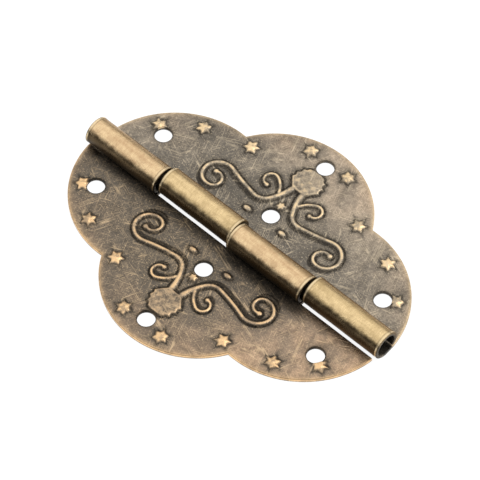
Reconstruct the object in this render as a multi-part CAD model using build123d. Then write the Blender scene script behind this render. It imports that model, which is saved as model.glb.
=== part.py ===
from build123d import *
import math
import os

# Sizes are in mm. X runs across the open hinge, Y along the pin, Z up from the backs of the leaves.

# Pressed sheet and the outline of one leaf: a round lobe at each end and one at the side
sheet = 0.7
leaf_length = 69.2
leaf_width = 27.0            # centre of the roll to outer edge
end_lobe_r = 18.1
side_lobe_r = 17.8
edge_bevel = 0.2

# Barrel: each knuckle is the sheet rolled round the pin, with its tip tucked in over the plate
barrel_r = 2.78
tuck_gap = 0.05              # between the plate and a tip tucked right under
tip_angle = 60               # how far below the pin axis the tip ends
wide_gap = 0.5               # outer knuckle to its neighbour
close_gap = 0.1              # between the two middle knuckles
end_play = 0.4               # each leaf has slid this far along the pin
side_play = 0.35             # each leaf has been pulled this far off the pin axis
slot_gap = 0.75              # barrel to the slot edge of the other leaf

# Pin
pin_clearance = 0.06         # pin to the wall of the roll that it bears on
pin_recess = 3.0             # pin end to barrel end
pin_bevel = 0.25

# Screw holes: a row of three along the pin and one near the outer edge
hole_r = 1.65
hole_row = 8.0               # centre of the roll to the row
end_hole_inset = 7.8         # leaf end to the end holes
outer_hole_inset = 4.4       # outer edge to the outer hole

# Embossed ornament
relief = 0.3
root = 0.2                   # how deep ornament is rooted in the sheet
ridge_width = 1.0
crest_width = 0.4
curl_relief = 0.24
blob_r = 0.65                # round end of a scroll

# Scrolls are chains of tangent arcs, each a radius and a turn in degrees.
# They start beside the medallion, at a place given from the centre of the outer hole.
scroll_start = (-7.8, 1.2)
scroll_heading = 171
scroll_arcs = [(10.8, -24), (2.7, -65), (38.0, -10), (3.25, 80), (2.7, 127), (1.6, 195)]
curl_start = (-9.9, 2.35)
curl_heading = 25
curl_arcs = [(5.0, 40), (1.36, 210)]

# Toothed medallion: its centre from the outer hole, and half of its outline from that centre
medallion_place = -4.4
medallion_half = [
    (-3.2, 1.5), (-2.1, 2.5), (-1.0, 3.4), (-0.5, 3.0), (0.3, 3.3), (0.8, 2.7),
    (1.6, 2.8), (1.75, 2.15), (2.4, 1.8), (2.6, 0.8),
]
medallion_top = 0.9          # share of the outline that the flat top keeps

# Stars follow the outline, at angles round the lobe that they stand on
star_r = 1.58
star_waist = 0.62            # inner corners as a share of the points
star_top = 0.6               # share of the outline that the flat top keeps
star_inset = 2.65            # outline to star centre
side_star_angles = [17.3, 59.3]
end_star_angles = [22.6, 53.4]
star_points = 6

# Small marks beside the middle hole, from its centre
spark_r = 1.2
spark_out = 2.7
bead_length = 1.8
bead_width = 0.9
bead_place = (-1.7, 4.2)

# Places that follow from the sizes
half_length = leaf_length / 2
end_lobe_y = half_length - end_lobe_r
side_lobe_x = leaf_width - side_lobe_r
barrel_half = half_length + end_play
knuckle_length = (barrel_half - wide_gap - close_gap / 2) / 2
barrel_chord = math.sqrt(barrel_r**2 - (barrel_r - sheet) ** 2)
slot_edge = barrel_chord - 2 * side_play + slot_gap
outer_hole_x = leaf_width - outer_hole_inset
end_hole_y = half_length - end_hole_inset
hole_places = [
    (hole_row, end_hole_y), (hole_row, 0), (hole_row, -end_hole_y), (outer_hole_x, 0),
]
tuck_x = sheet + tuck_gap                       # centre of the tighter curve of the tip
tuck_outer_r = barrel_r - tuck_x
tuck_inner_r = tuck_outer_r - sheet
pin_r = barrel_r - sheet - side_play - pin_clearance
pin_length = 2 * (barrel_half - pin_recess)


def polar(radius, degrees):
    return Vector(radius * math.cos(math.radians(degrees)), radius * math.sin(math.radians(degrees)))


def lobe(x, y, radius):
    disc = Cylinder(radius, sheet, align=(Align.CENTER, Align.CENTER, Align.MIN))
    rim = disc.edges().filter_by(GeomType.CIRCLE).sort_by(Axis.Z)[-1]
    return Pos(x, y) * chamfer(rim, edge_bevel)


def knuckle_spans():
    # The near knuckle ends flush with the plate, the other starts at the middle of the barrel
    middle = close_gap / 2 + end_play
    return [(-half_length, knuckle_length - half_length), (middle, middle + knuckle_length)]


def plate():
    # The three lobes, cut straight along the barrel except where a knuckle is rolled from the sheet
    body = Pos(slot_edge, 0) * Rectangle(leaf_width, leaf_length, align=(Align.MIN, Align.CENTER))
    for low, high in knuckle_spans():
        body += Pos(0, low) * Rectangle(leaf_width, high - low, align=Align.MIN)
    lobes = lobe(side_lobe_x, 0, side_lobe_r)
    lobes += [lobe(0, side * end_lobe_y, end_lobe_r) for side in (1, -1)]
    return lobes & extrude(body, sheet)


def roll_section():
    # The strip leaves the plate at the foot of the barrel, goes round and ends over the plate
    axis = Vector(0, barrel_r)
    tuck = Vector(tuck_x, barrel_r)
    inner_r = barrel_r - sheet
    outer_tip = tuck + polar(tuck_outer_r, -tip_angle)
    inner_tip = tuck + polar(tuck_inner_r, -tip_angle)
    edges = [
        ThreePointArc((0, 0), axis + polar(barrel_r, 135), axis + polar(barrel_r, 0)),
        ThreePointArc(axis + polar(barrel_r, 0), tuck + polar(tuck_outer_r, -tip_angle / 2), outer_tip),
        Line(outer_tip, inner_tip),
        ThreePointArc(inner_tip, tuck + polar(tuck_inner_r, -tip_angle / 2), axis + polar(inner_r, 0)),
        ThreePointArc(axis + polar(inner_r, 0), axis + polar(inner_r, 135), (0, sheet)),
        Line((0, sheet), (0, 0)),
    ]
    return make_face(edges)


def knuckle(low, high):
    across = Plane(origin=(0, high, 0), x_dir=(1, 0, 0), z_dir=(0, -1, 0))
    return extrude(across * roll_section(), high - low)


def ridge_section(height):
    # Sloped sides and a flat crest, on a root that goes into the sheet
    half = ridge_width / 2
    crest = crest_width / 2
    corners = [(-half, -root), (half, -root), (half, 0), (crest, height), (-crest, height), (-half, 0)]
    return make_face(Polyline(*corners, close=True))


def ridge(start, heading, arcs, height):
    place = Vector(outer_hole_x, 0, sheet) + Vector(*start)
    tangent = polar(1, heading)
    edges = []
    for radius, turn in arcs:
        arc = JernArc(start=place, tangent=tangent, radius=radius, arc_size=turn)
        place = arc @ 1
        tangent = arc % 1
        edges.append(arc)
    path = Wire(edges)
    foot = Plane(origin=path @ 0, x_dir=Vector(0, 0, 1).cross(path % 0), z_dir=path % 0)
    slope = (ridge_width - crest_width) / 2 / height
    blob = Cone(blob_r + root * slope, blob_r - height * slope, root + height)
    blob_at = Pos(*(path @ 1)) * Pos(0, 0, (height - root) / 2)
    return [sweep(foot * ridge_section(height), path=path), blob_at * blob]


def raised(place, corners, top_share):
    # A boss with a flat top: the outline lies on the sheet and draws in as it rises
    foot_share = 1 + (1 - top_share) * root / relief
    face = make_face(Polyline(*corners, close=True))
    foot = Pos(0, 0, -root) * scale(face, foot_share)
    top = Pos(0, 0, relief) * scale(face, top_share)
    return place * loft([foot, top], ruled=True)


def star(place, radius):
    corners = [
        polar(radius if step % 2 == 0 else radius * star_waist, 180 * step / star_points)
        for step in range(2 * star_points)
    ]
    return raised(place, corners, star_top)


def stars():
    lobes = [
        (Vector(side_lobe_x, 0), side_lobe_r, side_star_angles),
        (Vector(0, end_lobe_y), end_lobe_r, end_star_angles),
    ]
    found = []
    for centre, radius, angles in lobes:
        for angle in angles:
            spot = centre + polar(radius - star_inset, angle)
            found.append(star(Pos(spot.X, spot.Y, sheet) * Rot(0, 0, angle), star_r))
    return found


def medallion():
    other_half = [(x, -y) for x, y in reversed(medallion_half)]
    place = Pos(outer_hole_x + medallion_place, 0, sheet)
    return raised(place, medallion_half + other_half, medallion_top)


def bead():
    long = bead_length / 2
    wide = bead_width / 2
    side = long - wide
    corners = [(0, long), (wide, side), (wide, -side), (0, -long), (-wide, -side), (-wide, side)]
    return raised(Pos(hole_row + bead_place[0], bead_place[1], sheet), corners, star_top)


def leaf():
    one_side = stars() + [bead()]
    one_side += ridge(scroll_start, scroll_heading, scroll_arcs, relief)
    one_side += ridge(curl_start, curl_heading, curl_arcs, curl_relief)
    solid = plate() + [knuckle(low, high) for low, high in knuckle_spans()]
    solid += [medallion(), star(Pos(hole_row + spark_out, 0, sheet), spark_r)]
    solid += one_side
    solid += [mirror(piece, Plane.XZ) for piece in one_side]
    drill = Cylinder(hole_r, 4 * (sheet + relief))
    solid -= [Pos(x, y, sheet) * drill for x, y in hole_places]
    return Pos(side_play, -end_play, 0) * solid


def hinge_pin():
    rod = Pos(0, 0, barrel_r) * Rot(90, 0, 0) * Cylinder(pin_r, pin_length)
    return chamfer(rod.edges().filter_by(GeomType.CIRCLE), pin_bevel)


# Both leaves are the same pressing, turned end for end
pressing = leaf()
nodes = {
    "fixed_leaf": pressing,
    "swing_leaf": Rot(0, 0, 180) * pressing,
    "hinge_pin": hinge_pin(),
}

os.makedirs("parts", exist_ok=True)
for name, shape in nodes.items():
    export_step(shape, f"parts/{name}.step")
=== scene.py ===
import math
import bpy
import numpy as np
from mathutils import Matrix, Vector
from mathutils.geometry import tessellate_polygon


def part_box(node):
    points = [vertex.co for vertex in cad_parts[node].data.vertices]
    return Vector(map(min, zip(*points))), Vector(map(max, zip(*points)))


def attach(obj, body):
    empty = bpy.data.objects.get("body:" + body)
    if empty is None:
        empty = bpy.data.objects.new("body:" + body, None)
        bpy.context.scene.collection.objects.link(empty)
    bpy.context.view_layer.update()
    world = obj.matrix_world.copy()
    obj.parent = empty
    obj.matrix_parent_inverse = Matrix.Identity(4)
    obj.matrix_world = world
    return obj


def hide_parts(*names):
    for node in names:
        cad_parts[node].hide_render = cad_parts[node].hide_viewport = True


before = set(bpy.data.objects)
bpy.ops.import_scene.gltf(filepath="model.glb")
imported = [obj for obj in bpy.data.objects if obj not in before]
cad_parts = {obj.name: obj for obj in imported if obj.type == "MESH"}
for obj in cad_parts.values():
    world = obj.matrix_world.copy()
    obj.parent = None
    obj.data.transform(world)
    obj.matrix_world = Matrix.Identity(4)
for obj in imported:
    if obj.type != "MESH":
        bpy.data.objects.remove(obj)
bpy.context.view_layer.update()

print("frame loaded:", sorted(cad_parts))

mm = 0.001                      # lengths below are millimetres, meshes are metres

# The leaf's main sizes come from the CAD node: roll centre at x = 0, plate towards +X, back at z = 0
lowCorner, highCorner = [np.array(corner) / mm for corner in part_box("fixed_leaf")]
barrelR = highCorner[2] / 2
sidePlay = lowCorner[0] + barrelR
leafWidth = highCorner[0] - sidePlay

plate = {
    "halfLength": 34.6,
    "sheet": 0.7,
    "endLobeR": 18.1,
    "sideLobeR": 17.8,
    "slotGap": 0.75,            # barrel to the slot edge of the other leaf
    "edgeRound": 0.24,          # rounding of the outer edge
    "edgeWear": 0.26,           # reach of the rubbed edge
    "border": 1.5,              # reach of the warmer border
    "sway": 0.02,               # slow unevenness of the pressed sheet
    "swayFrom": (3, 2),         # it sets in this far from the slot edge and from the outer edge
    "rows": 384,
    "rowInset": 0.03,           # the end rows lie this far inside the corners
    "rowBow": 0.016,            # and bow out a little
    "fineSteps": 40001,
    "slopeWeight": 0.3,         # how much closer rows lie where the outline slopes
    "slopeMost": 12,
    "columns": 138,
    "rimWidth": 0.34,           # band of closer columns along the outer edge
    "rimMost": 0.4,             # share of a row that it takes at most
    "rimShares": (0.78, 0.56, 0.36, 0.2, 0.08, 0.0),
}
sheet = plate["sheet"]
halfLength = plate["halfLength"]
endPlay = -lowCorner[1] - halfLength
slotEdge = math.sqrt(barrelR ** 2 - (barrelR - sheet) ** 2) - 2 * sidePlay + plate["slotGap"]
endLobe = (0.0, halfLength - plate["endLobeR"], plate["endLobeR"])
sideLobe = (leafWidth - plate["sideLobeR"], 0.0, plate["sideLobeR"])

holes = {
    "radius": 1.65,
    "row": 8.0,                 # roll centre to the row of three
    "endInset": 7.8,
    "outerInset": 4.4,
    "pad": 0.55,                # width of the ring patch round a hole
    "round": 0.22,
    "ringShares": (0.74, 0.52, 0.35, 0.22, 0.13, 0.07, 0.03, 0.0),
    "wallShares": (0.45, 0.06, 0.0),
    # a ring of dirt and painted shade round each hole, fading from its edge
    "dirt": 0.9,
    "dirtFrom": 0.08,
    "dirtReach": 0.2,
}
rowX = holes["row"]
endHoleY = halfLength - holes["endInset"]
outerX = leafWidth - holes["outerInset"]
holePlaces = ((rowX, endHoleY), (rowX, 0.0), (rowX, -endHoleY), (outerX, 0.0))

# Pressed forms: side, rubFrom and the bank's shade range are the depths inside the foot between which the
# side rises, the rubbing sets in and the painted shade towards the pin sets in; rise is a share of the
# relief
ornament = {
    "relief": 0.32,
    "grooveDepth": 0.1,
    "grooveAt": 0.1,            # foot of a form to the middle of the groove beside it
    "grooveWide": 0.16,
    "grooveFrom": 0.3,          # it sets in this far from a hole
    "bankShift": 0.7,           # a lower bank, dark with painted shade, lies this far towards the pin
    "paintedBankShade": 0.72,
    "hazeFar": (0.42, 1.1),     # strength and reach of the painted shade haze about a form
    "hazeNear": (0.5, 0.55),
    "hazeInside": 1.5,          # how much faster it fades inside the foot
    "clearRise": (0.08, 0.27),  # dirt is rubbed off, and painted shade cleared, over this rise
}
ridge = {
    "power": 0.7,
    "crestFrom": 0.58,
    "blobRub": 0.8,
    "blobCrest": (0.2, 0.95),
    "bankRise": 0.5,            # height of the bank as a share of the ridge's
    "bankWiden": 0.1,
    # the bank's painted shade is full from this share of its section
    "bankFull": 0.4,
}
scroll = {
    "start": (-7.8, 1.2),       # from the outer hole
    "heading": 171,
    "arcs": ((10.8, -24), (2.7, -65), (38.0, -10), (3.25, 80), (2.7, 127), (1.6, 195)),
    "half": ((0, 0.82), (3.5, 0.62), (8, 0.54), (20, 0.54), (30.2, 0.44)),   # run, half width
    "blob": 0.68,
    "height": 0.32,
    "rub": 0.77,
}
curl = {
    "start": (-9.9, 2.35),
    "heading": 25,
    "arcs": ((5.0, 40), (1.36, 210)),
    "half": ((0, 0.46), (3.5, 0.42), (8.5, 0.36)),
    "blob": 0.58,
    "height": 0.26,
    "rub": 1.0,
}
medallion = {
    "place": -4.4,              # centre from the outer hole
    "half": ((-3.2, 1.5), (-2.1, 2.5), (-1.0, 3.4), (-0.5, 3.0), (0.3, 3.3), (0.8, 2.7),
             (1.6, 2.8), (1.75, 2.15), (2.4, 1.8), (2.6, 0.8)),
    "rise": 0.86,
    "side": (-0.1, 0.3),
    "hammer": ((0.03, (3.1, 1.3), (-0.8, 2.7), 1), (0.014, (7.3, -2.1), (1.7, 6.4), 2)),
    "hammerFrom": (0.3, 0.7),
    "proud": (-0.02, 0.02),     # hammered heights between which the rubbing grows
    "rub": 0.4,
    "rubFrom": (0.1, 0.4),
    "lip": (0.3, 0.2),          # depth and width of the bright line along its edge
    "lipRub": 0.36,
    "groove": 0.9,
    "bankShade": (-0.1, 0.2),
}
star = {
    "radius": 1.58,
    "waist": 0.62,
    "points": 6,
    "inset": 2.65,
    "sideAngles": (17.3, 59.3),
    "endAngles": (22.6, 53.4),
    "uneven": 0.09,             # how far its outline wavers
    "rise": 0.42,
    "side": (-0.08, 0.2),
    "slope": 0.8,               # of the pyramid on top, which ends at a depth of slopeMost
    "slopeMost": 0.9,
    "rub": 0.86,
    "rubFrom": (-0.14, 0.22),
    "groove": 0.55,
    # painted shade on the side towards the pin: its shift, strength and depths
    "bankShift": 0.42,
    "paintedBankShade": 1.1,
    "bankShade": (-0.15, 0.2),
}
spark = {
    "radius": 1.2,
    "out": 2.7,                 # from the middle hole
    "rise": 0.9,
    "side": (-0.06, 0.36),
    "rub": 0.75,
    "rubFrom": (0, 0.3),
    "groove": 0.7,
}
beads = {
    "place": (-1.7, 4.2),       # from the middle hole
    "half": (0.6, 1.0),
    "rise": 0.9,
    "rub": 0.8,
    "crest": (0.05, 0.9),
    "groove": 0.8,
}

roll = {
    "tuckGap": 0.05,
    "tipAngle": 60,
    "wideGap": 0.5,             # outer knuckle to its neighbour
    "closeGap": 0.1,            # between the two middle knuckles
    "stripSteps": 6,
    "turnSteps": 54,
    "tuckSteps": 12,
    "barrelFrom": (95, 130),    # degrees of the turn over which the strip becomes barrel
    "rowEven": 0.22,            # rows are partly even and partly crowd towards the ends
    "rowCrowd": 0.78,
    "endBevel": 0.13,
    "innerBevel": 0.7,          # share of it that the inside has
    "dents": 0.05,              # how far the worn barrel dips in places
    "dentsFrom": 1.2,
    "wear": (0.3, 0.15),        # place and width of the bright line near an end,
    "ring": (0.62, 0.1),        # of the dark line of painted shade beside it,
    "joint": (0.0, 0.12),       # and of the painted shade on the end itself
    # strengths of painted shade: the dark line, the end, the tucked tip and the strip under the pin
    "ringShade": 0.5,
    "jointShade": 0.85,
    "crease": (330, 380),       # degrees of the turn over which painted shade grows on the tip
    "creaseShade": 0.8,
    "stripShade": 0.5,
}
knuckleLength = (halfLength + endPlay - roll["wideGap"] - roll["closeGap"] / 2) / 2
secondLow = roll["closeGap"] / 2 + endPlay
knuckleSpans = ((-halfLength, knuckleLength - halfLength), (secondLow, secondLow + knuckleLength))


def smooth(value, start, stop):
    # eases from 0 at start to 1 at stop
    share = np.clip((value - start) / (stop - start), 0, 1)
    return share * share * (3 - 2 * share)


def hump(value, place, width):
    return np.exp(-((value - place) / width) ** 2)


def fade(depth, reach):
    return np.exp(-np.clip(depth, 0, None) / reach)


def rounded(away, halfWidth):
    # section of a rounded form: 1 at its middle, 0 at its foot
    return np.clip(1 - (away / halfWidth) ** 2, 0, 1)


def chainDistance(x, y, start, heading, arcs):
    # distance to a chain of tangent arcs: on each arc the nearest point has the same polar angle,
    # or is the nearer end; also gives the run along the chain to that point, and the chain's end
    px, py = start
    direction = math.radians(heading)
    best = np.full(x.shape, 1e9)
    along = np.zeros(x.shape)
    run = 0.0
    for radius, turn in arcs:
        side = math.copysign(1, turn)
        sweepAngle = math.radians(abs(turn))
        cx = px - side * radius * math.sin(direction)
        cy = py + side * radius * math.cos(direction)
        first = math.atan2(py - cy, px - cx)
        swept = np.mod(side * (np.arctan2(y - cy, x - cx) - first), 2 * math.pi)
        nearerEnd = np.where(swept - sweepAngle < 2 * math.pi - swept, sweepAngle, 0)
        swept = np.where(swept > sweepAngle, nearerEnd, swept)
        angle = first + side * swept
        away = np.hypot(x - cx - radius * np.cos(angle), y - cy - radius * np.sin(angle))
        along = np.where(away < best, run + radius * swept, along)
        best = np.minimum(best, away)
        run += radius * sweepAngle
        last = first + side * sweepAngle
        px, py = cx + radius * math.cos(last), cy + radius * math.sin(last)
        direction += side * sweepAngle
    return best, along, (px, py)


def starDepth(x, y, cx, cy, angle, radius):
    # depth inside a star: the plane is folded into half of one point, where a single edge bounds it
    sector = math.pi / star["points"]
    reach = np.hypot(x - cx, y - cy)
    bearing = np.arctan2(y - cy, x - cx) - math.radians(angle)
    bearing = np.abs(np.mod(bearing + sector, 2 * sector) - sector)
    waistX = radius * star["waist"] * math.cos(sector)
    waistY = radius * star["waist"] * math.sin(sector)
    length = math.hypot(waistY, radius - waistX)
    outwards = (reach * np.cos(bearing) - radius) * waistY + reach * np.sin(bearing) * (radius - waistX)
    return -outwards / length


def polygonDepth(x, y, corners):
    # distance to the nearest edge of a polygon, positive inside by the count of edges crossed
    best = np.full(x.shape, 1e9)
    inside = np.zeros(x.shape, bool)
    for (ax, ay), (bx, by) in zip(corners, corners[1:] + corners[:1]):
        dot = (x - ax) * (bx - ax) + (y - ay) * (by - ay)
        share = np.clip(dot / ((bx - ax) ** 2 + (by - ay) ** 2), 0, 1)
        best = np.minimum(best, np.hypot(x - ax - share * (bx - ax), y - ay - share * (by - ay)))
        if by != ay:
            inside ^= ((ay > y) != (by > y)) & (x < ax + (y - ay) * (bx - ax) / (by - ay))
    return np.where(inside, best, -best)


def edgeDepth(x, y):
    # depth inside the outline: the greatest of radius minus distance to centre over the three lobes
    endDepth = endLobe[2] - np.hypot(x - endLobe[0], np.abs(y) - endLobe[1])
    sideDepth = sideLobe[2] - np.hypot(x - sideLobe[0], y - sideLobe[1])
    return np.maximum(endDepth, sideDepth)


def edgeReach(y):
    # x of the outer edge: the further of the two circles at this y
    endX = np.sqrt(np.clip(endLobe[2] ** 2 - (np.abs(y) - endLobe[1]) ** 2, 0, None))
    sideX = sideLobe[0] + np.sqrt(np.clip(sideLobe[2] ** 2 - y ** 2, 0, None))
    return np.where(np.abs(y) < sideLobe[2], np.maximum(endX, sideX), endX)


def pressedForms(x, y):
    # height of the pressed forms over the sheet, the grooves round them, dirt in the grooves with painted
    # shade on the banks towards the pin, how far they are rubbed, and the painted shade haze about them;
    # both halves of the leaf are alike, so y is taken without its sign
    half = np.abs(y)
    full = ornament["relief"]
    height, groove, bankShade, rub, haze, crest = np.zeros((6,) + x.shape)
    forms = []                  # each: height, distance outside its foot, how far rubbed, share of groove

    # scrolls: a rounded ridge whose half width w follows the run, height * (1 - (d/w)^2)^power,
    # and the same again, shifted and lower, as the bank beside it, which carries painted shade
    for own in (scroll, curl):
        start = (outerX + own["start"][0], own["start"][1])
        route = (start, own["heading"], own["arcs"])
        runs, halves = zip(*own["half"])
        away, along, end = chainDistance(x, half, *route)
        wide = np.interp(along, runs, halves)
        section = rounded(away, wide)
        worn = own["rub"] * smooth(section, ridge["crestFrom"], 1)
        forms.append((own["height"] * section ** ridge["power"], away - wide, worn, 1))
        away = np.hypot(x - end[0], half - end[1])
        section = rounded(away, own["blob"])
        worn = ridge["blobRub"] * smooth(section, *ridge["blobCrest"])
        forms.append((own["height"] * np.sqrt(section), away - own["blob"], worn, 1))
        away, along = chainDistance(x + ornament["bankShift"], half, *route)[:2]
        section = rounded(away, np.interp(along, runs, halves) + ridge["bankWiden"])
        height = np.maximum(height, ridge["bankRise"] * own["height"] * section ** ridge["power"])
        bankShade = np.maximum(bankShade, smooth(section, 0, ridge["bankFull"]))

    # medallion: a plateau with toothed, sloping sides, its top hammered in two sets of waves,
    # rubbed along its edge and where the top stands proud
    centre = outerX + medallion["place"]
    upper = [(centre + a, b) for a, b in medallion["half"]]
    corners = upper + [(a, -b) for a, b in reversed(upper)]
    depth = polygonDepth(x, y, corners)
    hammered = np.zeros(x.shape)
    for rise, (a, b), (c, d), phase in medallion["hammer"]:
        hammered += rise * np.sin(a * x + b * y) * np.sin(c * x + d * y + phase)
    hammered *= smooth(depth, *medallion["hammerFrom"])
    proud = 0.5 + smooth(hammered, *medallion["proud"])
    worn = medallion["rub"] * proud * smooth(depth, *medallion["rubFrom"])
    worn += medallion["lipRub"] * hump(depth, *medallion["lip"])
    plateau = medallion["rise"] * full * smooth(depth, *medallion["side"]) + hammered
    forms.append((plateau, -depth, worn, medallion["groove"]))
    # painted shade on the medallion's side towards the pin
    beside = polygonDepth(x + ornament["bankShift"], y, corners)
    bankShade = np.maximum(bankShade, smooth(beside, *medallion["bankShade"]))

    # stars: short steep sides and a pyramid on top, with painted shade towards the pin
    for (cx, cy, radius), angles in ((sideLobe, star["sideAngles"]), (endLobe, star["endAngles"])):
        for angle in angles:
            out = radius - star["inset"]
            sx = cx + out * math.cos(math.radians(angle))
            sy = cy + out * math.sin(math.radians(angle))
            waver = star["uneven"] * np.sin(4.3 * x + angle) * np.sin(3.9 * y - angle)
            depth = starDepth(x, half, sx, sy, angle, star["radius"]) + waver
            beside = starDepth(x + star["bankShift"], half, sx, sy, angle, star["radius"]) + waver
            bankShade = np.maximum(bankShade, star["paintedBankShade"] * smooth(beside, *star["bankShade"]))
            pyramid = star["slope"] * np.clip(depth, 0, star["slopeMost"])
            rise = full * (star["rise"] * smooth(depth, *star["side"]) + pyramid)
            forms.append((rise, -depth, star["rub"] * smooth(depth, *star["rubFrom"]), star["groove"]))
    depth = starDepth(x, y, rowX + spark["out"], 0, 0, spark["radius"])
    worn = spark["rub"] * smooth(depth, *spark["rubFrom"])
    forms.append((spark["rise"] * full * smooth(depth, *spark["side"]), -depth, worn, spark["groove"]))

    # small beads: half ellipsoids
    beadX, beadY = rowX + beads["place"][0], beads["place"][1]
    oval = np.hypot((x - beadX) / beads["half"][0], (half - beadY) / beads["half"][1])
    section = rounded(oval, 1)
    worn = beads["rub"] * smooth(section, *beads["crest"])
    outside = (oval - 1) * beads["half"][0]
    forms.append((beads["rise"] * full * np.sqrt(section), outside, worn, beads["groove"]))

    (farDark, farReach), (nearDark, nearReach) = ornament["hazeFar"], ornament["hazeNear"]
    for rise, outside, worn, deep in forms:
        crest = np.maximum(crest, rise)
        groove = np.maximum(groove, deep * hump(outside, ornament["grooveAt"], ornament["grooveWide"]))
        rub = np.maximum(rub, worn)
        # painted shade haze round each form, fading faster inside its foot
        gap = np.where(outside > 0, outside, -ornament["hazeInside"] * outside)
        haze = np.maximum(haze, farDark * fade(gap, farReach) + nearDark * hump(gap, 0, nearReach))
    clear = 1 - smooth(crest, *ornament["clearRise"])
    # dirt in the grooves, joined with painted shade on the banks towards the pin; both are cleared off
    # raised forms
    dirt = np.maximum(groove, ornament["paintedBankShade"] * bankShade) * clear
    return np.maximum(height, crest), groove * clear, dirt, rub, haze


def roundedDrop(depth, radius):
    # how far a quarter-round edge of this radius lies below the face, by depth from the edge
    short = np.clip(radius - depth, 0, radius)
    return radius - np.sqrt(radius ** 2 - short ** 2)


markNames = ("rub", "dirt", "edge", "barrel", "lean", "haze", "border")


def markStack(like, **given):
    # marks in the order of markNames, zero where not given
    return np.stack([given.get(name, 0) + np.zeros(like.shape) for name in markNames], -1)


def plateTop(x, y):
    # height of the plate's upper face, and the marks that the finish reads
    height, groove, dirt, rub, haze = pressedForms(x, y)
    depth = edgeDepth(x, y)
    holeGap = np.full(x.shape, 1e9)
    for cx, cy in holePlaces:
        holeGap = np.minimum(holeGap, np.hypot(x - cx, y - cy) - holes["radius"])
    calm = smooth(x - slotEdge, 0, plate["swayFrom"][0]) * smooth(depth, 0, plate["swayFrom"][1])
    sway = plate["sway"] * calm * (np.sin(0.42 * x + 0.23 * y + 1) + np.sin(0.31 * y - 0.27 * x) - 1)
    sunk = ornament["grooveDepth"] * groove * smooth(holeGap, 0, ornament["grooveFrom"])
    z = sheet + height - sunk + sway
    z -= roundedDrop(depth, plate["edgeRound"]) + roundedDrop(holeGap, holes["round"])
    holeDirtAndShade = holes["dirt"] * fade(holeGap - holes["dirtFrom"], holes["dirtReach"]) * (1 - rub)
    marks = markStack(
        x, rub=rub, dirt=np.maximum(dirt, holeDirtAndShade), haze=haze,
        edge=fade(depth, plate["edgeWear"]), border=fade(depth, plate["border"]))
    return z, marks


class Skin:
    # collects blocks of points, with their marks, and the faces over them
    def __init__(self):
        self.points, self.marks, self.quads, self.tris = [], [], [], []
        self.count = 0

    def add(self, x, y, z, marks):
        # returns vertex numbers in the shape of the block
        x, y, z = np.broadcast_arrays(x, y, z)
        numbers = self.count + np.arange(x.size).reshape(x.shape)
        self.points.append(np.stack([x, y, z], -1).reshape(-1, 3))
        self.marks.append(np.broadcast_to(marks, x.shape + (len(markNames),)).reshape(-1, len(markNames)))
        self.count += x.size
        return numbers

    def cells(self, numbers, flip=False, keep=None):
        # one quad for each cell of a block of vertex numbers
        quads = np.stack([numbers[:-1, :-1], numbers[:-1, 1:], numbers[1:, 1:], numbers[1:, :-1]], -1)
        quads = quads[keep] if keep is not None else quads.reshape(-1, 4)
        self.quads.append(quads[:, ::-1] if flip else quads)

    def arrays(self):
        # drops points that no face uses
        points, marks = np.concatenate(self.points), np.concatenate(self.marks)
        quads, tris = np.concatenate(self.quads), np.concatenate(self.tris)
        used, corners = np.unique(np.concatenate([quads.ravel(), tris.ravel()]), return_inverse=True)
        quads, tris = corners[:quads.size].reshape(-1, 4), corners[quads.size:].reshape(-1, 3)
        return points[used], marks[used], quads, tris


def rowPlaces():
    # y of the rows: even steps of a measure that counts the slope of the outline,
    # with a row at each end of a knuckle and at each cusp of the outline
    top = endLobe[1] + math.sqrt(endLobe[2] ** 2 - slotEdge ** 2) - plate["rowInset"]
    fine = np.linspace(-top, top, plate["fineSteps"])
    reach = edgeReach(fine)
    slope = np.clip(np.abs(np.gradient(reach, fine)), 0, plate["slopeMost"])
    steps = np.sqrt(1 + (plate["slopeWeight"] * slope[1:]) ** 2) * np.diff(fine)
    measure = np.concatenate([[0], np.cumsum(steps)])
    inner = np.abs(fine) < sideLobe[2]
    gap = endLobe[2] ** 2 - (np.abs(fine) - endLobe[1]) ** 2 - reach ** 2
    cusp = np.abs(fine[inner & (gap < -1e-9)]).max()
    stops = sorted([-top, -cusp, knuckleSpans[0][1], *knuckleSpans[1], cusp, top])
    stopAt = np.interp(stops, fine, measure)
    counts = np.maximum(3, np.round(np.diff(stopAt) / measure[-1] * plate["rows"])).astype(int)
    runs = [np.linspace(a, b, n, endpoint=False) for a, b, n in zip(stopAt[:-1], stopAt[1:], counts)]
    rows = np.interp(np.concatenate(runs + [stopAt[-1:]]), measure, fine)
    for stop in stops:
        rows[np.abs(rows - stop).argmin()] = stop
    return rows


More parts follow.
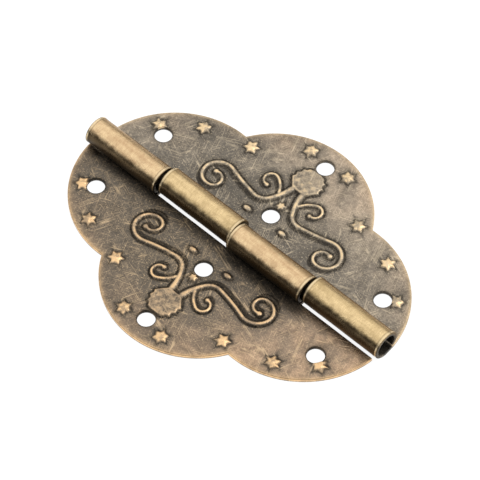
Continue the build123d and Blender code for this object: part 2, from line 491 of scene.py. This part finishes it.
def addPlate(skin, rows):
    # upper face: columns run evenly from the slot edge, then crowd towards the outer edge
    reach = edgeReach(rows) - slotEdge
    rim = np.minimum(plate["rimWidth"], plate["rimMost"] * reach)
    even = (reach - rim)[:, None] * np.linspace(0, 1, plate["columns"])
    close = reach[:, None] - rim[:, None] * np.array(plate["rimShares"])
    x = slotEdge + np.concatenate([even, close], 1)
    y = np.repeat(rows[:, None], x.shape[1], 1)
    share = np.linspace(0, 1, x.shape[1])
    bow = plate["rowBow"] * share * (1 - share)
    y[0] -= bow
    y[-1] += bow
    top = skin.add(x, y, *plateTop(x, y))

    # each hole takes a window out of the grid; rings lead from its border to the circle and down the wall
    keep = np.ones((len(rows) - 1, x.shape[1] - 1), bool)
    rims = []
    for cx, cy in holePlaces:
        out = holes["radius"] + holes["pad"]
        j0 = np.searchsorted(rows, cy - out) - 1
        j1 = np.searchsorted(rows, cy + out)
        across = even[j0:j1 + 1] + slotEdge
        i0 = (across < cx - out).sum(1).min() - 1
        i1 = (across < cx + out).sum(1).max()
        keep[j0:j1, i0:i1] = False
        border = np.concatenate([
            top[j0, i0:i1], top[j0:j1, i1], top[j1, i1:i0:-1], top[j1:j0:-1, i0]])
        bx, by = x.ravel()[border], y.ravel()[border]
        bearing = np.arctan2(by - cy, bx - cx)
        ringX = cx + holes["radius"] * np.cos(bearing)
        ringY = cy + holes["radius"] * np.sin(bearing)
        shares = np.array(holes["ringShares"])[:, None]
        rx, ry = ringX + shares * (bx - ringX), ringY + shares * (by - ringY)
        wallZ = np.array(holes["wallShares"])[:, None] * sheet + 0 * bx
        collar = skin.add(rx, ry, *plateTop(rx, ry))
        # painted shade on the hole's wall, except at its foot
        wall = skin.add(ringX, ringY, wallZ, markStack(wallZ, dirt=wallZ > 0))
        rings = np.concatenate([border[None], collar, wall])
        skin.cells(np.concatenate([rings, rings[:, :1]], 1))
        rims.append(rings[-1])
    skin.cells(top, keep=keep)

    # side walls down to the back, which has no marks, except where a knuckle's strip leaves the slot edge
    loop = np.concatenate([top[0, :-1], top[:-1, -1], top[-1, :0:-1], top[:0:-1, 0]])
    lx, ly = x.ravel()[loop], y.ravel()[loop]
    foot = skin.add(lx, ly, 0 * lx, markStack(lx))
    wall = np.stack([foot, np.roll(foot, -1), np.roll(loop, -1), loop], -1)
    middle = (ly + np.roll(ly, -1)) / 2
    atSlot = (np.abs(lx - slotEdge) < 1e-6) & (np.abs(np.roll(lx, -1) - slotEdge) < 1e-6)
    rolled = np.any([(middle > low) & (middle < high) for low, high in knuckleSpans], 0) & atSlot
    skin.quads.append(wall[~rolled])

    # flat back with the four holes in it, turned to face down
    outlines = [foot] + rims
    places = np.concatenate(skin.points)
    flat = [[Vector((*places[n, :2], 0)) for n in outline] for outline in outlines]
    numbers = np.concatenate(outlines)
    tris = numbers[np.array(tessellate_polygon(flat))]
    a, b, c = (places[tris[:, k], :2] for k in range(3))
    turn = (b - a)[:, 0] * (c - a)[:, 1] - (b - a)[:, 1] * (c - a)[:, 0]
    tris[turn > 0] = tris[turn > 0][:, ::-1]
    skin.tris.append(tris[np.abs(turn) > 1e-12])

    backFoot = np.full(skin.count, -1)
    backFoot[loop] = foot
    return top[:, 0], backFoot[top[:, 0]]


def rollProfile():
    # outer and inner line of the rolled strip, point for point: straight under the pin, round it
    # clockwise from below, then a tighter curve whose centre is shifted, so that the tip tucks in
    tuckX = sheet + roll["tuckGap"]
    strip = np.linspace(1, 0, roll["stripSteps"] + 1)[1:] * slotEdge
    turn = np.radians(np.linspace(-90, -360, roll["turnSteps"] + 1)[1:])
    tuck = np.radians(np.linspace(0, -roll["tipAngle"], roll["tuckSteps"] + 1)[1:])
    lines = []
    for radius in (barrelR, barrelR - sheet):
        lineX = np.concatenate([strip, radius * np.cos(turn), tuckX + (radius - tuckX) * np.cos(tuck)])
        rise = np.concatenate([radius * np.sin(turn), (radius - tuckX) * np.sin(tuck)])
        lineZ = np.concatenate([0 * strip + barrelR - radius, barrelR + rise])
        lines.append((lineX, lineZ))
    bearing = np.concatenate([0 * strip, turn, tuck - 2 * math.pi])
    onBarrel = np.concatenate([0 * strip, smooth(-np.degrees(turn), *roll["barrelFrom"]), 0 * tuck + 1])
    return lines, bearing, onBarrel


def addKnuckle(skin, rows, slotTop, slotFoot, low, high):
    # carries the roll profile along y; rows crowd towards the ends, where the edges are bevelled
    inSpan = (rows > low - 1e-6) & (rows < high + 1e-6)
    plateY = rows[inSpan]
    share = (plateY - plateY[0]) / (plateY[-1] - plateY[0])
    eased = roll["rowEven"] * share + roll["rowCrowd"] * (0.5 - 0.5 * np.cos(math.pi * share))
    barrelY = low + (high - low) * eased
    ((outX, outZ), (inX, inZ)), bearing, onBarrel = rollProfile()
    strip = np.clip(np.arange(1, len(outX) + 1) / roll["stripSteps"], 0, 1)
    y = plateY[:, None] + (barrelY - plateY)[:, None] * strip

    # dents: slow waves round and along the barrel, only ever inwards; bevel: the last rows draw in
    fromEnd = np.minimum(y - low, high - y)
    wave = np.sin(3 * bearing + 0.45 * y + low) + np.sin(2 * bearing - 0.83 * y)
    wave += np.sin(5 * bearing + 0.21 * y)
    dip = roll["dents"] * onBarrel * np.clip(wave / 6 + 0.5, 0, 1) * smooth(fromEnd, 0, roll["dentsFrom"])
    bevel = onBarrel * roundedDrop(fromEnd, roll["endBevel"])
    draw = (dip + bevel) / sheet
    drawIn = roll["innerBevel"] * bevel / sheet

    # marks: a bright line near each end, painted shade on the ends, beside that line, on the tip and on the
    # strip, and the lean from the top in degrees
    wear = onBarrel * hump(fromEnd, *roll["wear"])
    joint = np.maximum(hump(fromEnd, *roll["joint"]), roll["ringShade"] * hump(fromEnd, *roll["ring"]))
    crease = smooth(-bearing, *map(math.radians, roll["crease"]))
    grimeAndShade = roll["creaseShade"] * crease + roll["stripShade"] * (1 - onBarrel)
    grimeAndShade = np.maximum(grimeAndShade, roll["jointShade"] * (onBarrel * joint))
    lean = -onBarrel * (np.degrees(bearing) + 270)
    outMarks = markStack(y, dirt=grimeAndShade, edge=wear, barrel=onBarrel, lean=lean)
    # painted shade over the whole inside of the roll
    inMarks = markStack(y, dirt=1)
    outer = skin.add(outX + draw * (inX - outX), y, outZ + draw * (inZ - outZ), outMarks)
    inner = skin.add(inX + drawIn * (outX - inX), y, inZ + drawIn * (outZ - inZ), inMarks)
    outer = np.concatenate([slotFoot[inSpan][:, None], outer], 1)
    inner = np.concatenate([slotTop[inSpan][:, None], inner], 1)
    skin.cells(outer)
    skin.cells(inner, flip=True)
    skin.cells(np.stack([outer[:, -1], inner[:, -1]], 1))
    skin.cells(np.stack([outer[0], inner[0]], 1))
    skin.cells(np.stack([outer[-1], inner[-1]], 1), flip=True)


def pressedLeaf():
    skin = Skin()
    rows = rowPlaces()
    slotTop, slotFoot = addPlate(skin, rows)
    for low, high in knuckleSpans:
        addKnuckle(skin, rows, slotTop, slotFoot, low, high)
    return skin.arrays()


def addObject(name, data):
    made = bpy.data.objects.new(name, data)
    bpy.context.scene.collection.objects.link(made)
    return made


sharpFrom = 52                  # degrees between two faces, from which their edge is sharp


def makePiece(name, points, quads, tris, marks):
    mesh = bpy.data.meshes.new(name)
    corners = np.concatenate([quads.ravel(), tris.ravel()]).astype(np.int32)
    starts = np.concatenate([4 * np.arange(len(quads)), 4 * len(quads) + 3 * np.arange(len(tris))])
    mesh.vertices.add(len(points))
    mesh.vertices.foreach_set("co", (points * mm).astype(np.float32).ravel())
    mesh.loops.add(len(corners))
    mesh.loops.foreach_set("vertex_index", corners)
    mesh.polygons.add(len(starts))
    mesh.polygons.foreach_set("loop_start", starts.astype(np.int32))
    mesh.update(calc_edges=True)
    mesh.validate()
    for mark, values in marks.items():
        layer = mesh.attributes.new(mark, "FLOAT", "POINT")
        layer.data.foreach_set("value", values.astype(np.float32))
    mesh.shade_smooth()
    mesh.set_sharp_from_angle(angle=math.radians(sharpFrom))
    print(name, "triangles:", 2 * len(quads) + len(tris))
    return addObject(name, mesh)


# Each leaf has aged its own way and has its own painted shade: warm, pale and deep dark places as soft round
# patches (x, y, radius, strength), the deep ones joining the painted shade haze; painted shadow in strips
# along the barrel (y from, y to, x dark, x clear, strength); how narrow and how ruddy the rubbed crests are,
# how dark the grooves and the painted shade, and the side its plate is on
ageingAndShade = {
    "fixed": {"warm": ((23, -7, 9, 0.5), (15, -29, 9, 0.3), (14, 30, 8, 0.25), (25, 9, 6, 0.5)),
              "pale": ((25, -9, 12, 1.2), (16, 27, 16, 0.25), (13, -29, 12, 0.55), (20, 8, 7, 0.3),
                       (6, 32, 6, 0.4), (24, -20, 8, 0.3), (27, 0, 6, 0.5)),
              "deep": ((8, 8, 7, 0.3), (9, -9, 7, 0.3), (18.5, 0, 3, 0.35)),
              "shadowStrips": (),
              "narrow": 1.1, "grimeAndShade": 0.9, "ruddy": 0.1, "facing": 1},
    "swing": {"warm": ((-12, -30, 15, 1.15), (-26, 3, 7, 0.5), (-19, 24, 8, 0.25), (-22, -14, 8, 0.75),
                       (-4, -33, 7, 0.4)),
              "pale": ((-12, -28, 12, 0.45),),
              "deep": ((-4, -6, 5, 0.5), (-4, -12, 5, 0.6), (-10, 6, 6, 0.3)),
              "shadowStrips": ((-18.5, 0.5, 3.9, 5.6, 0.75), (0.5, 17.5, 3.4, 5.4, 0.46),
                         (17.5, 31, 3.5, 5.2, 0.45)),
              "narrow": 1.3, "grimeAndShade": 1.05, "ruddy": 0.9, "facing": -1},
}
ageingAndShadeReach = {
    "front": 0.3,               # patches set in over this height, so the back stays plain
    "hazeTakes": 0.6,           # share of the warm and pale places that the painted shade haze takes
    "borderWarm": 0.3,
    "stripEnd": 1.5,            # half length of a painted shadow strip's soft ends
    # painted shade on the barrel: dark on its -X flank and browner on its +X flank, leaving the top bright
    "paintedShadeFlank": (30, 62),          # degrees from the rubbed top of the barrel, towards -X
    "tan": (2, 50),             # and towards +X
}


def patchy(points, patches):
    # sum of round patches that fade from their centre as exp(-(distance / radius)^2)
    total = np.zeros(len(points))
    for cx, cy, radius, strength in patches:
        total += strength * np.exp(-((points[:, 0] - cx) ** 2 + (points[:, 1] - cy) ** 2) / radius ** 2)
    return total


def striped(points, shadowStrips):
    # painted shadow: sum of strips along y that fade over x, with soft ends
    x, y = np.abs(points[:, 0]), points[:, 1]
    soft = ageingAndShadeReach["stripEnd"]
    total = np.zeros(len(points))
    for low, high, dark, clear, strength in shadowStrips:
        ends = smooth(y, low - soft, low + soft) * smooth(-y, -high - soft, soft - high)
        total += strength * ends * smooth(x, clear, dark)
    return total


ownPoints, ownMarks, leafQuads, leafTris = pressedLeaf()
settled = ownPoints + np.array([sidePlay, -endPlay, 0])
leafPieces = {}
for key, points, body in (
    ("fixed", settled, "frame_side"),
    ("swing", settled * np.array([-1, -1, 1]), "door_side"),
):
    marks = {name: ownMarks[:, k] for k, name in enumerate(markNames)}
    own = ageingAndShade[key]
    front = smooth(points[:, 2], 0, ageingAndShadeReach["front"])
    clear = front * (1 - ageingAndShadeReach["hazeTakes"] * marks["haze"])
    warmth = patchy(points, own["warm"]) + ageingAndShadeReach["borderWarm"] * marks.pop("border")
    marks["warm"] = np.clip(warmth, 0, 1) * clear
    marks["pale"] = np.clip(patchy(points, own["pale"]), 0, 1) * clear
    # deep places add painted shade to the haze
    marks["haze"] = np.clip(marks["haze"] + front * patchy(points, own["deep"]), 0, 1)
    marks["rub"] = marks["rub"] ** own["narrow"]
    marks["ruddy"] = np.full(len(points), own["ruddy"])
    # facing turns the lean so that, as the leaves lie at rest, the painted shade is dark on the -X flank of
    # every knuckle and browner on the +X flank
    lean = marks.pop("lean") * own["facing"]
    marks["paintedShadeFlank"] = smooth(-lean, *ageingAndShadeReach["paintedShadeFlank"])
    marks["tan"] = smooth(lean, *ageingAndShadeReach["tan"])
    # painted shadow on the plate along the barrel, joined with the dirt and painted shade
    paintedShadow = striped(points, own["shadowStrips"]) * front * (1 - marks["barrel"])
    marks["dirt"] = np.clip(np.maximum(marks["dirt"] * own["grimeAndShade"], paintedShadow), 0, 1)
    piece = makePiece(key + "LeafPressing", points, leafQuads, leafTris, marks)
    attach(piece, body)
    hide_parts(key + "_leaf")
    leafPieces[key] = piece
print("leaves built")


def addNode(tree, kind, values=None, **settings):
    made = tree.nodes.new(kind)
    for key, value in settings.items():
        setattr(made, key, value)
    for key, value in (values or {}).items():
        made.inputs[key].default_value = value
    return made


def newGroup(name, inputs, outputs):
    tree = bpy.data.node_groups.new(name, "ShaderNodeTree")
    for label, kind, value in inputs:
        socket = tree.interface.new_socket(label, in_out="INPUT", socket_type="NodeSocket" + kind)
        if value is not None:
            socket.default_value = value
    for label, kind in outputs:
        tree.interface.new_socket(label, in_out="OUTPUT", socket_type="NodeSocket" + kind)
    return tree, tree.nodes.new("NodeGroupInput"), tree.nodes.new("NodeGroupOutput")


def band(tree, value, start, stop, low=0.0, high=1.0):
    # eased ramp of a value
    limits = {"From Min": start, "From Max": stop, "To Min": low, "To Max": high}
    ramp = addNode(tree, "ShaderNodeMapRange", limits, interpolation_type="SMOOTHSTEP")
    tree.links.new(value, ramp.inputs["Value"])
    return ramp.outputs["Result"]


def ranged(tree, value, limits):
    # runs from the first limit to the second as a value runs from 0 to 1
    return band(tree, value, 0, 1, *limits)


def feed(tree, socket, value):
    # links an output, or sets a plain value
    if hasattr(value, "links"):
        tree.links.new(value, socket)
    else:
        socket.default_value = value


def calc(tree, operation, first, second, clamp=False):
    made = addNode(tree, "ShaderNodeMath", operation=operation, use_clamp=clamp)
    feed(tree, made.inputs[0], first)
    feed(tree, made.inputs[1], second)
    return made.outputs["Value"]


def times(tree, first, second):
    return calc(tree, "MULTIPLY", first, second)


def blendColour(tree, share, first, second):
    made = addNode(tree, "ShaderNodeMix", data_type="RGBA")
    for socket, value in ((0, share), (6, first), (7, second)):
        feed(tree, made.inputs[socket], value)
    return made.outputs[2]


def placeGroup(tree, group, vector, **values):
    made = addNode(tree, "ShaderNodeGroup", node_tree=group)
    tree.links.new(vector, made.inputs["Vector"])
    for label, value in values.items():
        made.inputs[label].default_value = value
    return made


def mapped(tree, vector, values):
    made = addNode(tree, "ShaderNodeMapping", values)
    tree.links.new(vector, made.inputs["Vector"])
    return made.outputs["Vector"]


def noiseAt(tree, vector, scale, detail, roughness=0.5):
    values = {"Scale": scale, "Detail": detail, "Roughness": roughness}
    made = addNode(tree, "ShaderNodeTexNoise", values)
    tree.links.new(vector, made.inputs["Vector"])
    return made.outputs["Fac"]


def addBump(tree, shader, height, strength, depth):
    bump = addNode(tree, "ShaderNodeBump", {"Strength": strength, "Distance": depth})
    tree.links.new(height, bump.inputs["Height"])
    tree.links.new(bump.outputs["Normal"], shader.inputs["Normal"])


def newFinish(name):
    material = bpy.data.materials.new(name)
    material.use_nodes = True
    tree = material.node_tree
    return material, tree, tree.nodes["Principled BSDF"]


def mottleGroup():
    # cloudy patches at three scales, each a noise with its middle stretched
    tree, given, out = newGroup(
        "patinaMottle",
        [("Vector", "Vector", None), ("Size", "Float", 1.0)],
        [("Clouds", "Float"), ("Spots", "Float"), ("Specks", "Float")])
    scaled = addNode(tree, "ShaderNodeVectorMath", operation="SCALE")
    tree.links.new(given.outputs["Vector"], scaled.inputs[0])
    tree.links.new(given.outputs["Size"], scaled.inputs["Scale"])
    for label, scale, detail, start, stop in (
        ("Clouds", 160, 4, 0.36, 0.64), ("Spots", 620, 5, 0.38, 0.66), ("Specks", 3400, 3, 0.56, 0.74),
    ):
        noise = noiseAt(tree, scaled.outputs["Vector"], scale, detail, 0.6)
        tree.links.new(band(tree, noise, start, stop), out.inputs[label])
    return tree


scratchNoise = {
    "turns": ((0.4, 0.0), (1.15, 3.1), (1.9, 7.7), (2.75, 5.3)),    # direction and shift
    "drawn": (((50, 950, 150), 1), ((520, 5600, 900), 2)),          # scale and detail
    "lift": 0.4,                # keeps the sheet's faces between the planes of the noise
    "roughness": 0.45,
    "lineWidth": 0.021,
    "brokenScale": 210,
    "brokenEdge": 0.1,
    "hatchFrom": (0.52, 0.74),
}


def scratchGroup():
    # noise drawn out along several directions; where it passes its middle it gives thin lines,
    # broken up by a second noise, and its high places give soft hatching
    tree, given, out = newGroup(
        "fineScratches",
        [("Vector", "Vector", None), ("Cover", "Float", 0.5)],
        [("Lines", "Float"), ("Hatching", "Float")])
    lines, hatching = 0.0, 0.0
    for turn, seed in scratchNoise["turns"]:
        spun = mapped(tree, given.outputs["Vector"], {"Rotation": (0, 0, turn), "Location": (seed, seed, 0)})
        drawn = []
        for scale, detail in scratchNoise["drawn"]:
            pulled = mapped(tree, spun, {"Scale": scale, "Location": (0, 0, scratchNoise["lift"])})
            drawn.append(noiseAt(tree, pulled, 1.0, detail, scratchNoise["roughness"]))
        middle = calc(tree, "ABSOLUTE", calc(tree, "SUBTRACT", drawn[0], 0.5), 0)
        broken = noiseAt(tree, spun, scratchNoise["brokenScale"], 2)
        shown = calc(tree, "SUBTRACT", calc(tree, "ADD", broken, given.outputs["Cover"]), 1.0)
        line = band(tree, middle, 0.0, scratchNoise["lineWidth"], 1.0, 0.0)
        line = times(tree, line, band(tree, shown, 0.0, scratchNoise["brokenEdge"]))
        lines = calc(tree, "MAXIMUM", line, lines)
        hatching = calc(tree, "MAXIMUM", band(tree, drawn[1], *scratchNoise["hatchFrom"]), hatching)
    tree.links.new(lines, out.inputs["Lines"])
    tree.links.new(hatching, out.inputs["Hatching"])
    return tree


def grainGroup():
    # brushing: fine noise drawn out across Y, coarse noise drawn out along it
    tree, given, out = newGroup(
        "drawnGrain",
        [("Vector", "Vector", None)],
        [("Grain", "Float"), ("Streaks", "Float")])
    for label, scale, start, stop in (
        ("Grain", (1500, 4600, 1500), 0.34, 0.68), ("Streaks", (1200, 90, 1200), 0.4, 0.68),
    ):
        pulled = mapped(tree, given.outputs["Vector"], {"Scale": scale})
        noise = noiseAt(tree, pulled, 1.0, 3, 0.55)
        tree.links.new(band(tree, noise, start, stop), out.inputs[label])
    return tree


patinaMottle = mottleGroup()
fineScratches = scratchGroup()
drawnGrain = grainGroup()

leafFinish = {
    "patina": (0.167, 0.153, 0.133, 1),
    "patinaRuddy": (0.172, 0.148, 0.119, 1),
    # dark patina, also used for the painted shade haze
    "deepPatinaAndShade": (0.092, 0.08, 0.066, 1),
    "patinaWarm": (0.72, 0.48, 0.31, 1),
    "patinaPale": (0.74, 0.63, 0.49, 1),
    "worn": (0.98, 0.735, 0.43, 1),
    "wornRuddy": (0.98, 0.645, 0.335, 1),
    "brown": (0.42, 0.345, 0.25, 1),
    "brownRuddy": (0.47, 0.335, 0.21, 1),
    "scratch": (0.8, 0.665, 0.475, 1),
    "scratchRuddy": (0.84, 0.61, 0.365, 1),
    "bright": (0.96, 0.72, 0.39, 1),
    "brightRuddy": (0.98, 0.735, 0.43, 1),
    "tarnish": (0.36, 0.255, 0.105, 1),
    "tarnishRuddy": (0.46, 0.245, 0.125, 1),
    # painted shade on the barrel's flanks: dark, and browner
    "paintedShadeFlank": (0.1, 0.07, 0.038, 1),
    "tan": (0.33, 0.2, 0.075, 1),
    "rim": (0.95, 0.76, 0.48, 1),
    # colour of the dirt and of the painted shade
    "dirt": (0.018, 0.015, 0.012, 1),
    "clouded": (0.45, 1.0),     # pale and warm places in thin and in thick clouds
    "spotsDeep": 0.4,           # how far spots, and places between the hatching, darken the patina
    "hatchDeep": 0.36,
    "dirtSpots": (0.95, 0.72),  # outside and inside spots: dirt and painted shade, rubbing and the rubbed edge
    "rubSpots": (1.12, 0.55),
    "edgeSpots": (1.0, 0.6),
    "rubFrom": (0.02, 0.5),     # rubbing from patina to brown brass, then to bright brass
    "polishFrom": (0.38, 0.92),
    "hatched": (0.12, 0.28),    # scratches in thin and in thick clouds
    "scored": (0.3, 0.62),
    "flecked": 0.7,
    "streaked": 0.34,           # tarnish on the barrel
    "grained": 0.26,
    "spotted": 0.28,
    # the broken line and the spread of the dark painted shade on the barrel
    "flankBroken": 0.32,
    "flankFrom": (0.1, 0.9),
    "rimMost": 0.9,
    "plateRough": 0.34,
    "barrelRough": 0.28,
    "roughSpots": (-0.05, 0.08),
    "dirtRough": 0.3,
    "bump": 0.35,
    "bumpDepth": 0.00003,
    "bumpSpots": 0.5,
    "bumpLines": 1.5,
    "bumpGrain": 0.5,
}


def leafBrass():
    material, tree, shader = newFinish("leafBrass")
    finish = leafFinish
    place = addNode(tree, "ShaderNodeTexCoord").outputs["Object"]
    mark = {name: addNode(tree, "ShaderNodeAttribute", attribute_name=name).outputs["Fac"]
            for name in ("rub", "dirt", "edge", "barrel", "paintedShadeFlank", "tan", "haze", "warm", "pale", "ruddy")}
    mottle = placeGroup(tree, patinaMottle, place).outputs
    scratches = placeGroup(tree, fineScratches, place).outputs
    grain = placeGroup(tree, drawnGrain, place).outputs
    clouds, spots = mottle["Clouds"], mottle["Spots"]
    lines, hatching = scratches["Lines"], scratches["Hatching"]

    def ownColour(name):
        # the leaves differ in how ruddy they are
        return blendColour(tree, mark["ruddy"], finish[name], finish[name + "Ruddy"])

    # patina: grey brown, with pale and warm places, clouded, darker in spots and under the painted shade
    # haze, and darker between the hatching
    clouded = ranged(tree, clouds, finish["clouded"])
    colour = ownColour("patina")
    for name, lighter in (("pale", "patinaPale"), ("warm", "patinaWarm")):
        colour = blendColour(tree, times(tree, mark[name], clouded), colour, finish[lighter])
    deep = calc(tree, "MAXIMUM", mark["haze"], times(tree, spots, finish["spotsDeep"]))
    between = times(tree, calc(tree, "SUBTRACT", 1.0, hatching), finish["hatchDeep"])
    for share in (deep, between):
        colour = blendColour(tree, share, colour, finish["deepPatinaAndShade"])

    # dirt in the grooves and painted shade in hollows, beside forms and along the barrel, thinner in spots,
    # and brass on raised forms
    dirt = calc(tree, "MULTIPLY", mark["dirt"], ranged(tree, spots, finish["dirtSpots"]), clamp=True)
    colour = blendColour(tree, dirt, colour, finish["dirt"])
    worn = ownColour("worn")
    rubbed = times(tree, mark["rub"], ranged(tree, spots, finish["rubSpots"]))
    polished = blendColour(tree, band(tree, rubbed, *finish["polishFrom"]), ownColour("brown"), worn)
    colour = blendColour(tree, band(tree, rubbed, *finish["rubFrom"]), colour, polished)

    # fine scratches and specks over all but the dirt and painted shade, then the rubbed edge
    clean = calc(tree, "SUBTRACT", 1.0, dirt)
    bare = ownColour("scratch")
    hatched = times(tree, hatching, ranged(tree, clouds, finish["hatched"]))
    scored = times(tree, lines, ranged(tree, clouds, finish["scored"]))
    flecked = times(tree, mottle["Specks"], finish["flecked"])
    for share in (hatched, scored, flecked):
        colour = blendColour(tree, times(tree, share, clean), colour, bare)
    edge = times(tree, mark["edge"], ranged(tree, spots, finish["edgeSpots"]))
    colour = blendColour(tree, edge, colour, worn)

    # barrel: brushed brass, with painted shade on its flanks, browner on one and dark on the other with a
    # broken line between, bright at the knuckle ends
    tarnish = ownColour("tarnish")
    brushed = ownColour("bright")
    for share, most in ((grain["Streaks"], "streaked"), (grain["Grain"], "grained"), (spots, "spotted")):
        brushed = blendColour(tree, times(tree, share, finish[most]), brushed, tarnish)
    # painted shade: browner on the barrel's +X flank
    brushed = blendColour(tree, mark["tan"], brushed, finish["tan"])
    broken = times(tree, calc(tree, "SUBTRACT", spots, 0.5), finish["flankBroken"])
    uneven = calc(tree, "ADD", mark["paintedShadeFlank"], broken)
    brushed = blendColour(tree, band(tree, uneven, *finish["flankFrom"]), brushed, finish["paintedShadeFlank"])
    brushed = blendColour(tree, times(tree, mark["edge"], finish["rimMost"]), brushed, finish["rim"])
    brushed = blendColour(tree, dirt, brushed, finish["dirt"])
    colour = blendColour(tree, mark["barrel"], colour, brushed)
    tree.links.new(colour, shader.inputs["Base Color"])

    rough = calc(tree, "ADD", ranged(tree, spots, finish["roughSpots"]), finish["plateRough"])
    smoother = times(tree, mark["barrel"], finish["plateRough"] - finish["barrelRough"])
    rough = calc(tree, "SUBTRACT", rough, smoother)
    rough = calc(tree, "ADD", rough, times(tree, dirt, finish["dirtRough"]), clamp=True)
    tree.links.new(rough, shader.inputs["Roughness"])
    shader.inputs["Metallic"].default_value = 1.0

    fine = calc(tree, "ADD", times(tree, spots, finish["bumpSpots"]), hatching)
    fine = calc(tree, "SUBTRACT", fine, times(tree, lines, finish["bumpLines"]))
    ribbed = times(tree, times(tree, grain["Grain"], mark["barrel"]), finish["bumpGrain"])
    addBump(tree, shader, calc(tree, "ADD", fine, ribbed), finish["bump"], finish["bumpDepth"])
    return material


pinFinish = {
    "wire": (0.16, 0.125, 0.085, 1),
    "tarnish": (0.05, 0.04, 0.03, 1),
    "mottleSize": 1.4,
    "spotted": 0.7,
    "cover": 0.45,
    "scored": 0.3,
    "rough": 0.45,
    "roughStreaks": (-0.08, 0.12),
    "bump": 0.25,
    "bumpDepth": 0.00002,
}


def pinBrass():
    material, tree, shader = newFinish("pinBrass")
    place = addNode(tree, "ShaderNodeTexCoord").outputs["Object"]
    spots = placeGroup(tree, patinaMottle, place, Size=pinFinish["mottleSize"]).outputs["Spots"]
    grain = placeGroup(tree, drawnGrain, place).outputs
    lines = placeGroup(tree, fineScratches, place, Cover=pinFinish["cover"]).outputs["Lines"]
    dull = times(tree, spots, pinFinish["spotted"])
    colour = blendColour(tree, dull, pinFinish["wire"], pinFinish["tarnish"])
    colour = blendColour(tree, times(tree, lines, pinFinish["scored"]), colour, leafFinish["worn"])
    tree.links.new(colour, shader.inputs["Base Color"])
    rough = calc(tree, "ADD", ranged(tree, grain["Streaks"], pinFinish["roughStreaks"]), pinFinish["rough"])
    tree.links.new(rough, shader.inputs["Roughness"])
    shader.inputs["Metallic"].default_value = 1.0
    addBump(tree, shader, grain["Grain"], pinFinish["bump"], pinFinish["bumpDepth"])
    return material


leafMaterial = leafBrass()
for piece in leafPieces.values():
    piece.data.materials.append(leafMaterial)
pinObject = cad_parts["hinge_pin"]
pinObject.data.materials.clear()
pinObject.data.materials.append(pinBrass())
print("finishes made")

studio = {
    "floorSize": 6.0,
    "floorDrop": 0.00005,       # below the backs of the leaves
    "floorRough": 0.9,
    "floorColour": (0.25, 0.25, 0.25, 1),
    "floorLift": 0.9,           # added for camera, glossy and transmission rays
    "skyLow": 0.28,
    "skyHigh": 1.0,
    "skyLean": 0.12,            # the light leans towards +X
    "skyEdge": (0.2, 0.64),
    "shadeSide": (-0.73, -0.683, 0),   # the room is unlit on this side
    "shadeEdge": (0.2, 0.6),
    "shadeKeep": 0.5,
    "lampPlace": (0.5, -0.35, 0.9),
    "lampSize": 0.6,
    "lampPower": 1.6,
}


def makeFloor():
    half = studio["floorSize"] / 2
    mesh = bpy.data.meshes.new("studioFloor")
    corners = [(-half, -half, 0), (half, -half, 0), (half, half, 0), (-half, half, 0)]
    mesh.from_pydata(corners, [], [(0, 1, 2, 3)])
    floor = addObject("studioFloor", mesh)
    floor.location.z = -studio["floorDrop"]
    material, tree, shader = newFinish("paleFloor")
    shader.inputs["Base Color"].default_value = studio["floorColour"]
    shader.inputs["Roughness"].default_value = studio["floorRough"]
    shader.inputs["Emission Color"].default_value = (1, 1, 1, 1)
    path = addNode(tree, "ShaderNodeLightPath").outputs
    seen = calc(tree, "MAXIMUM", path["Is Camera Ray"], path["Is Glossy Ray"])
    seen = calc(tree, "MAXIMUM", seen, path["Is Transmission Ray"])
    tree.links.new(times(tree, seen, studio["floorLift"]), shader.inputs["Emission Strength"])
    mesh.materials.append(material)


def makeSky():
    # brightness rises with the height of a direction, plus a lean towards +X, and falls towards one side
    world = bpy.data.worlds.new("softStudio")
    bpy.context.scene.world = world
    world.use_nodes = True
    tree = world.node_tree
    parts = addNode(tree, "ShaderNodeSeparateXYZ")
    direction = addNode(tree, "ShaderNodeTexCoord").outputs["Generated"]
    tree.links.new(direction, parts.inputs["Vector"])
    lean = times(tree, parts.outputs["X"], studio["skyLean"])
    rise = calc(tree, "ADD", parts.outputs["Z"], lean)
    level = band(tree, rise, *studio["skyEdge"], studio["skyLow"], studio["skyHigh"])
    side = addNode(tree, "ShaderNodeVectorMath", {1: studio["shadeSide"]}, operation="DOT_PRODUCT")
    tree.links.new(direction, side.inputs[0])
    kept = band(tree, side.outputs["Value"], *studio["shadeEdge"], 1.0, studio["shadeKeep"])
    sky = tree.nodes["Background"]
    sky.inputs["Color"].default_value = (1, 1, 1, 1)
    tree.links.new(times(tree, level, kept), sky.inputs["Strength"])


def makeLamp():
    light = bpy.data.lights.new("softBox", "AREA")
    light.shape = "SQUARE"
    light.size = studio["lampSize"]
    light.energy = studio["lampPower"]
    lamp = addObject("softBox", light)
    lamp.location = studio["lampPlace"]
    lamp.rotation_euler = Vector(studio["lampPlace"]).to_track_quat("Z", "Y").to_euler()


camera = {
    "turn": -46.9186,
    "lift": 54.3578,
    "distance": 525.9,
    "target": (0.879, 0.205, 0.094),
    "lens": 220.84,
    "sensor": 36,
}


def makeCamera():
    turn, lift = math.radians(camera["turn"]), math.radians(camera["lift"])
    back = Vector((math.sin(turn) * math.cos(lift), -math.cos(turn) * math.cos(lift), math.sin(lift)))
    lens = bpy.data.cameras.new("photoCamera")
    lens.lens = camera["lens"]
    lens.sensor_width = camera["sensor"]
    viewer = addObject("photoCamera", lens)
    viewer.location = (Vector(camera["target"]) + back * camera["distance"]) * mm
    viewer.rotation_euler = (math.pi / 2 - lift, 0, turn)
    bpy.context.scene.camera = viewer


makeFloor()
makeSky()
makeLamp()
makeCamera()
bpy.context.scene.view_settings.view_transform = "Standard"
print("studio ready")
